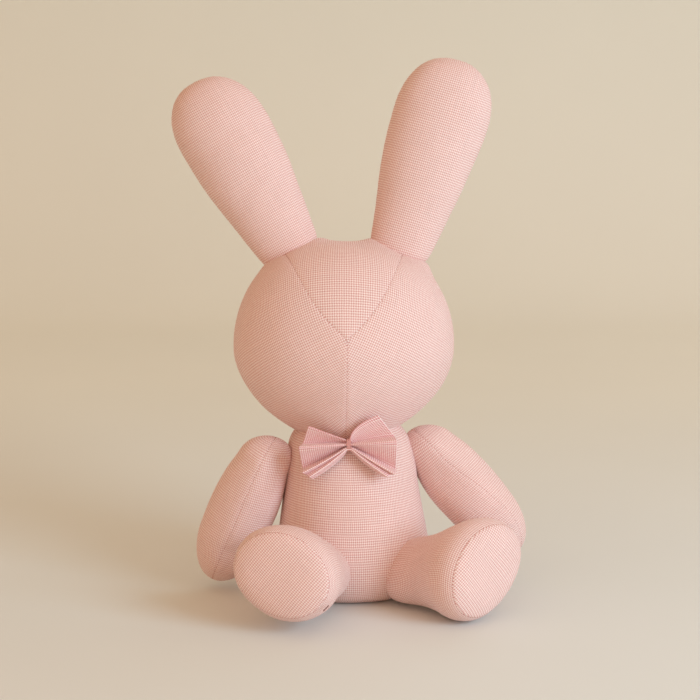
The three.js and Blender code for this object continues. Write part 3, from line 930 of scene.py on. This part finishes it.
def head():
    sides, rings = 96, 66
    # How far each seam of the V leans from upright, near its point and at its far end
    seam_near, seam_far = math.radians(46.5), math.radians(29.5)
    v_sides = 9  # mesh steps from the middle to each edge of the V
    half_angle = math.acos(-EAR_SEAM_Y / HEAD_DEPTH)
    front_rings = round(rings * half_angle / math.pi)
    polar = np.r_[
        np.linspace(0, half_angle, front_rings + 1),
        np.linspace(half_angle, math.pi, rings - front_rings + 1)[1:],
    ]
    point_rise = math.asin(V_POINT / HEAD_ABOVE[0])
    points = np.zeros((rings + 1, sides, 3))
    for ring, angle in enumerate(polar):
        reach = math.sin(angle) * 80  # about how far up the V
        edge = seam_far + (seam_near - seam_far) * math.exp(-((reach / 50) ** 2))
        steps = np.r_[
            np.linspace(0, edge, v_sides + 1),
            np.linspace(edge, math.pi, sides // 2 - v_sides + 1)[1:],
        ]
        rise = tilted(-point_rise * max(0, 1 - (angle / half_angle) ** 2))
        for side_index, turn in enumerate(np.r_[steps, -steps[-2:0:-1]]):
            across, up = math.sin(angle) * math.sin(turn), math.sin(angle) * math.cos(turn)
            points[ring, side_index] = head_surface(rise @ np.array([across, -math.cos(angle), up]))
    # The ball that the weave is laid flat from
    half_sizes = np.array([HEAD_WIDTH, HEAD_DEPTH, 77])
    mean_radius = 74
    half = sides // 2

    def panel_of(ring, side_index):
        left = side_index < half
        if ring >= front_rings:
            return 3 if left else 4
        if side_index < v_sides or side_index >= sides - v_sides:
            return 0
        return 1 if left else 2

    # Each panel's cloth is laid flat round its middle: how far aside and up, and the weave's turn
    middles = {0: (0, 35, 0), 1: (48, -12, 24), 2: (-48, -12, -25), 3: (48, 0, 0), 4: (-48, 0, 0)}
    flat = {}
    for panel, (x, z, turn) in middles.items():
        forward = 1 if panel > 2 else -1
        rest = 1 - (x / half_sizes[0]) ** 2 - (z / half_sizes[2]) ** 2
        centre = np.array([x, forward * HEAD_DEPTH * math.sqrt(rest), z]) / half_sizes
        centre /= np.linalg.norm(centre)
        side_way = np.cross([0, 0, 1], centre)
        side_way /= np.linalg.norm(side_way)
        flat[panel] = (centre, side_way, np.cross(centre, side_way), math.radians(turn))

    def on_cloth(panel, ring, side_index):
        centre, side_way, up_way, turn = flat[panel]
        point = points[ring, side_index % sides]
        direction = point / half_sizes
        direction = direction / np.linalg.norm(direction)
        angle = math.acos(np.clip(direction @ centre, -1, 1))
        u, v = direction @ side_way, direction @ up_way
        scale = angle * mean_radius / max(math.hypot(u, v), 1e-9)
        u, v = u * scale, v * scale
        return u * math.cos(turn) - v * math.sin(turn), u * math.sin(turn) + v * math.cos(turn)

    cover = closed_grid("head", points, panel_of, on_cloth)
    to_row(cover, head_frame)
    ridged(cover)
    flared(cover, "right", 6.5, 2.5)
    flared(cover, "left", 5.5, 7)
    chin = neck + head_tilt @ np.array([0, 0, 6])
    pulled(cover, chin, (0, -0.6, -0.3), 5, 2)
    drooped(cover, chin)
    under = 3.0
    holes = [(neck, np.eye(4), np.full(3, NECK_RADIUS - under))]
    for matrix in EARS.values():
        holes.append((matrix[:3, 3], matrix, EAR_ROOT - under))
    panels = ["forehead", "cheek_left", "cheek_right", "back_left", "back_right"]
    sew(cover, [f"head_{panel}" for panel in panels], "head", "head_stuffing", holes)


trunk()
head()
for side, matrix in EARS.items():
    ear(side, matrix)
for side, matrix in ARMS.items():
    arm(side, matrix)
for side, matrix in LEGS.items():
    leg(side, matrix)


# ---- Bow: one strip of cloth in pleats, pinched and stitched in the middle ----
BOW_PLACE = turned(*tilted(math.radians(-8)).T, [-4.2, -33, 119.5])
# Each fold line from the pinch, by way of a point that it bends towards, to the free end of the strip
BOW_FOLDS = {
    "left": [
        ((0, 0.5, 2.0), (2, -2, 12), (20.6, -5, 19.0)),
        ((1, -1.5, 3.6), (0.5, -6, 14.5), (21.4, -7, 22.4)),
        ((2, 3.0, 1.2), (14, 4, 4.5), (33.8, 2.5, 6.0)),
        ((2, -4.5, 0.4), (18, -11, 1.8), (35.2, -10, 3.6)),
        ((2, 3.0, -0.9), (18, 5, -10), (34.6, 4.5, -18.6)),
        ((2, -4.0, -1.8), (17, -9, -11.3), (34.2, -8.5, -20.9)),
        ((2, -1.5, -2.2), (15, -4.5, -12), (31.4, -4, -21.4)),
        ((2, -4.5, -2.9), (13.5, -9, -12.7), (28.3, -8.5, -22.7)),
        ((1, 1.5, -3.6), (7, -1, -11.5), (26.0, -3, -23.2)),
    ],
    "right": [
        ((0, 0.5, 2.0), (-14, -1, 6), (-29.0, -4, 12.0)),
        ((-1, -1.5, 3.4), (-14, -5, 8.2), (-29.8, -6, 14.6)),
        ((-2, 3.0, 1.2), (-14, 4, 1.5), (-34.4, 3, 0.4)),
        ((-2, -4.5, 0.4), (-18, -11, 0.2), (-37.0, -10, -0.8)),
        ((-2, 3.0, -0.9), (-16, 5, -10), (-34.6, 4.5, -17.8)),
        ((-2, -4.0, -1.8), (-16, -9, -11), (-34.4, -8.5, -19.8)),
        ((-2, -1.5, -2.2), (-14.5, -4.5, -12), (-32.0, -4, -21.4)),
        ((-2, -4.5, -2.9), (-13, -9, -12.8), (-29.2, -8.5, -23.0)),
        ((-1, 1.5, -3.6), (-6, -1, -12.5), (-27.0, -3, -25.0)),
    ],
}


def bow():
    steps = 20
    shares = np.linspace(0, 1, steps)[:, None]

    def fold_line(start, towards, end):
        start, towards, end = (np.array(point, float) for point in (start, towards, end))
        return start * (1 - shares) ** 2 + 2 * towards * shares * (1 - shares) + end * shares**2

    sides = [np.array([fold_line(*fold) for fold in BOW_FOLDS[side]]) for side in ("right", "left")]
    lines = np.concatenate([sides[0][:, ::-1], sides[1]], axis=1)
    between = [0, 0.12, 0.5, 0.88]
    rows = []
    for above, below in zip(lines[:-1], lines[1:]):
        rows += [above + share * (below - above) for share in between]
    rows = np.array(rows + [lines[-1]])
    spread = np.linalg.norm(np.diff(rows[:, -1], axis=0), axis=1)
    down = np.r_[0, np.cumsum(spread)]
    reach = np.linalg.norm(np.diff(lines[3], axis=0), axis=1)
    out = np.r_[0, np.cumsum(reach)]
    count = rows.shape[1]
    faces = [
        (r * count + c, r * count + c + 1, (r + 1) * count + c + 1, (r + 1) * count + c)
        for r in range(len(rows) - 1) for c in range(count - 1)
    ]
    mesh = bpy.data.meshes.new("bow_strip")
    mesh.from_pydata([tuple(point * MM) for point in rows.reshape(-1, 3)], [], faces)
    layer = mesh.uv_layers.new(name="cloth")
    for loop in mesh.loops:
        row, column = divmod(loop.vertex_index, count)
        layer.data[loop.index].uv = (out[column] * MM, down[row] * MM)
    piece = in_scene("bow_strip", mesh)
    to_row(piece, BOW_PLACE)
    smoothed(piece)
    thickness = piece.modifiers.new("two layers", "SOLIDIFY")
    thickness.thickness = 0.9 * MM
    thickness.offset = 0
    run_modifiers(piece)
    smoothed(piece)
    one_material(piece.data, BOW_PINK)
    finish_shading(piece.data)
    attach(piece, "bow")
    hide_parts("bow_cloth")


def bow_stitching():
    """A few turns of thread round the pinch."""
    turns, per_turn = 5, 24
    angles = np.linspace(0, turns * 2 * math.pi, turns * per_turn)
    path = np.column_stack([
        np.linspace(-1.3, 1.3, len(angles)) + 0.25 * np.sin(angles * 1.37),
        -0.6 + 4.6 * np.cos(angles),
        4.4 * np.sin(angles),
    ])
    ahead = np.gradient(path, axis=0)
    ahead /= np.linalg.norm(ahead, axis=1, keepdims=True)
    out = np.column_stack([np.zeros(len(angles)), np.cos(angles), np.sin(angles)])
    across = np.cross(ahead, out)
    rim = np.linspace(0, 2 * math.pi, 8, endpoint=False)
    rings = [path + 0.3 * (math.cos(a) * out + math.sin(a) * across) for a in rim]
    points = np.stack(rings, axis=1).reshape(-1, 3)
    faces = [
        (i * 8 + k, i * 8 + (k + 1) % 8, (i + 1) * 8 + (k + 1) % 8, (i + 1) * 8 + k)
        for i in range(len(path) - 1) for k in range(8)
    ]
    faces += [tuple(range(8)), tuple(range(len(points) - 8, len(points)))[::-1]]
    mesh = bpy.data.meshes.new("bow_thread")
    mesh.from_pydata([tuple(point * MM) for point in points], [], faces)
    piece = in_scene("bow_thread", mesh)
    to_row(piece, BOW_PLACE)
    mesh.materials.append(BOW_THREAD)
    mesh.shade_smooth()
    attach(piece, "bow")
    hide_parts("bow_stitching")


# ---- The bag of pellets in the seat ----
def pellet_bag():
    low, high = (np.array(corner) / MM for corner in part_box("pellet_bag"))
    middle, half = (low + high) / 2, (high - low) / 2
    sides, rings = 48, 24
    points = np.zeros((rings + 1, sides, 3))
    for ring, angle in enumerate(np.linspace(-math.pi / 2, math.pi / 2, rings + 1)):
        rise = math.copysign(abs(math.sin(angle)) ** 0.8, angle)
        spread = math.cos(angle) ** 0.7 if abs(angle) < 1.57 else 0
        for side_index in range(sides):
            turn = 2 * math.pi * side_index / sides
            sag = 0.93 + 0.02 * math.cos(4 * turn) - 0.05 * max(rise, 0) ** 2
            points[ring, side_index] = middle + half * [
                sag * spread * math.cos(turn), sag * spread * math.sin(turn), 0.97 * sag * rise,
            ]

    def panel_of(ring, side_index):
        return 0 if ring < rings // 2 else 1

    def on_cloth(panel, ring, side_index):
        return tuple(points[ring, side_index % sides, :2])

    cover = closed_grid("pellet_bag_cloth", points, panel_of, on_cloth)
    smoothed(cover)
    lumps(cover, 0.8, 5)
    chains = sink_seams(cover, depth=1.2, shoulder=0.8)
    thread_stitches("pellet_bag_threads", "torso", coordinates(cover.data), chains, normals(cover.data))
    one_material(cover.data, MUSLIN)
    cover.data.shade_smooth()
    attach(cover, "torso")
    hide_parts("pellet_bag")


bow()
bow_stitching()
pellet_bag()


# ---- Floor, light and camera ----
def stage():
    """A pale floor that sweeps up behind the toy."""
    turn = np.linspace(0, math.pi / 2, 17)
    sweep = np.column_stack([1.2 + 0.5 * np.sin(turn), 0.5 - 0.5 * np.cos(turn)])
    profile = [(-3.0, 0.0), *sweep, (1.7, 4.0)]
    points = [(x, y, z) for y, z in profile for x in (-4.0, 4.0)]
    faces = [(2 * i, 2 * i + 1, 2 * i + 3, 2 * i + 2) for i in range(len(profile) - 1)]
    mesh = bpy.data.meshes.new("floor")
    mesh.from_pydata(points, [], faces)
    mesh.shade_smooth()
    floor = in_scene("floor", mesh)
    n = Nodes("floor")
    place = n.add("ShaderNodeTexCoord").outputs["Object"]
    grain = n.add("ShaderNodeTexNoise", {"Vector": place, "Scale": 3.0, "Detail": 2.0})
    tone = n.mapped(grain.outputs[0], 0, 1, 0.97, 1.03)
    depth = n.add("ShaderNodeSeparateXYZ", {0: place}).outputs[1]
    wall = n.mapped(depth, 0.1, 0.9, kind="SMOOTHSTEP")
    n.tint(n.mix(wall, linear(226, 230, 227), linear(231, 232, 223)), tone)
    n.shader.inputs["Roughness"].default_value = 0.85
    floor.data.materials.append(n.material)


def aimed(thing, place, target):
    """Puts a lamp or a camera in its place, and turns it to what it points at."""
    thing.location = place
    thing.rotation_euler = (target - place).to_track_quat("-Z", "Y").to_euler()


def light(name, place, target, size, power, colour):
    lamp = bpy.data.lights.new(name, "AREA")
    lamp.size = size
    lamp.energy = power
    lamp.color = colour
    aimed(in_scene(name, lamp), Vector(place), Vector(target))


def studio():
    middle = (0, 0, 0.17)
    light("key", (1.46, -1.24, 0.77), middle, 1.0, 28.5, (0.6, 0.825, 1.0))
    light("back", (0.7, 1.3, 1.25), middle, 1.2, 2.5, (0.75, 0.87, 1.0))
    light("low fill", (-0.25, -0.8, 0.18), (0, 0, 0.08), 0.5, 0.55, (1.0, 0.78, 0.74))
    world = bpy.data.worlds.new("studio")
    world.use_nodes = True
    background = world.node_tree.nodes["Background"]
    background.inputs[0].default_value = (1.0, 0.69, 0.45, 1)
    background.inputs[1].default_value = 0.71
    bpy.context.scene.world = world
    bpy.context.scene.view_settings.view_transform = "Standard"


def camera():
    distance, height_angle = 1.4, math.radians(10)
    view_width = 0.5215  # what the picture's width covers at the aim
    aim = Vector((-0.0035, 0, 0.1844))
    lens = bpy.data.cameras.new("camera")
    lens.lens = lens.sensor_width * distance / view_width
    seen = in_scene("camera", lens)
    aimed(seen, aim + distance * Vector((0, -math.cos(height_angle), math.sin(height_angle))), aim)
    bpy.context.scene.camera = seen


stage()
studio()
camera()
